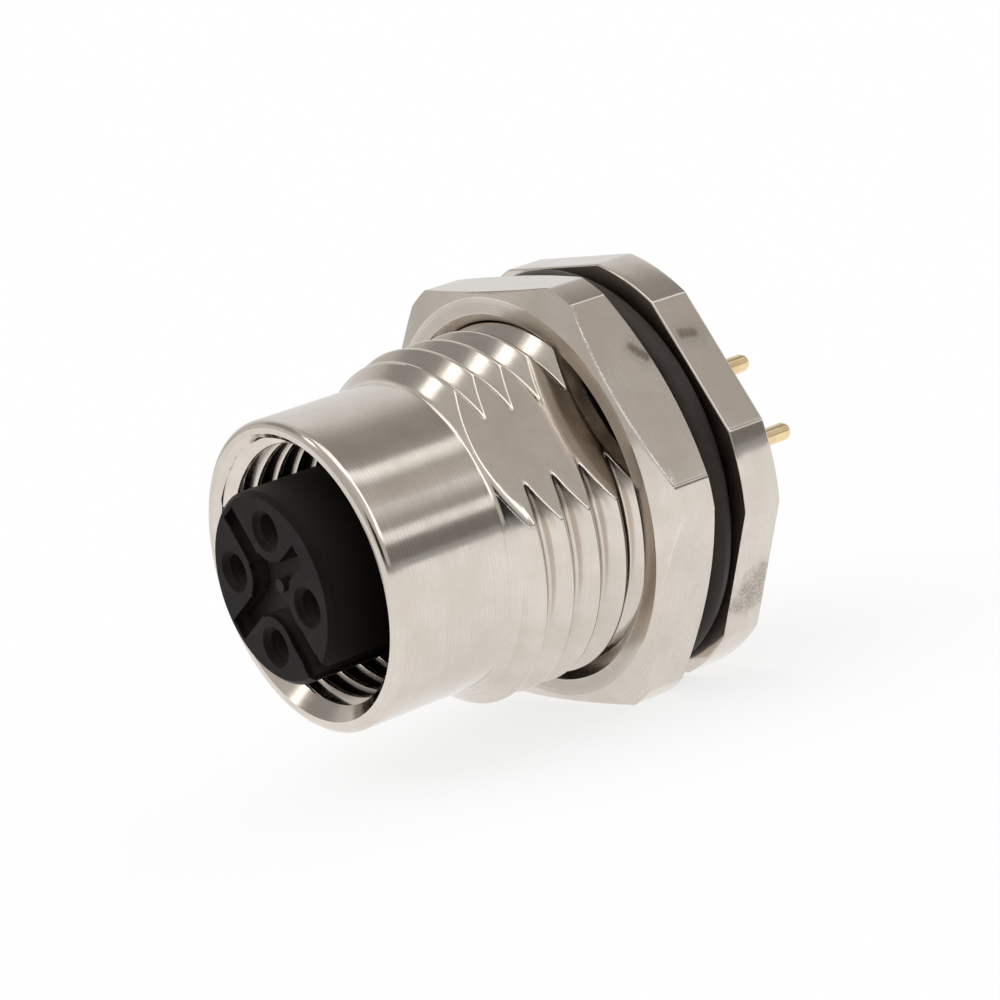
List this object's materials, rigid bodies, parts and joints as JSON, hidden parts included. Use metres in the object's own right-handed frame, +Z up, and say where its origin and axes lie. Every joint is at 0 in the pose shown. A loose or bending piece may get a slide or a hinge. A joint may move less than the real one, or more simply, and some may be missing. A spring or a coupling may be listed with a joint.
{
  "type": "circular connector socket",
  "caption": "Round panel-mount connector socket with a threaded metal shell, hexagon flange and lock nut, rubber panel ring, moulded contact insert and straight solder tails.",
  "frame": {"origin": "on the connector's axis, in the plane of the flange's front face where the panel ring seats", "axes": "-Y along the axis out of the mating face, +Y along the solder tails, +Z up with flats of the hexagon flange facing straight up and straight down"},
  "size_m": [0.02, 0.026, 0.0182],
  "materials": {
    "plated_metal": "turned brass with satin nickel plating",
    "seal_rubber": "matte black rubber",
    "insert_plastic": "matte black moulded plastic",
    "contact_gold": "turned brass with thin gold plating"
  },
  "bodies": {
    "socket": {"shell": "plated_metal", "contact_insert": "insert_plastic", "insert_seal": "seal_rubber", "contact_retainer": "insert_plastic", "contact_1": "contact_gold", "contact_2": "contact_gold", "contact_3": "contact_gold", "contact_4": "contact_gold"},
    "seal_ring": {"panel_seal": "seal_rubber"},
    "nut": {"lock_nut": "plated_metal"}
  },
  "joints": [
    {"name": "nut_turn", "type": "hinge", "parent": "socket", "child": "seal_ring", "pos_m": [0, 0, 0], "axis": [0, -1, 0], "range_deg": [0, 2160]},
    {"name": "nut_travel", "type": "slide", "parent": "seal_ring", "child": "nut", "axis": [0, -1, 0], "range_m": [0, 0.0085]}
  ],
  "couplings": [
    {"joint": "nut_travel", "follows": "nut_turn", "m_per_rad": 0.00022457}
  ]
}
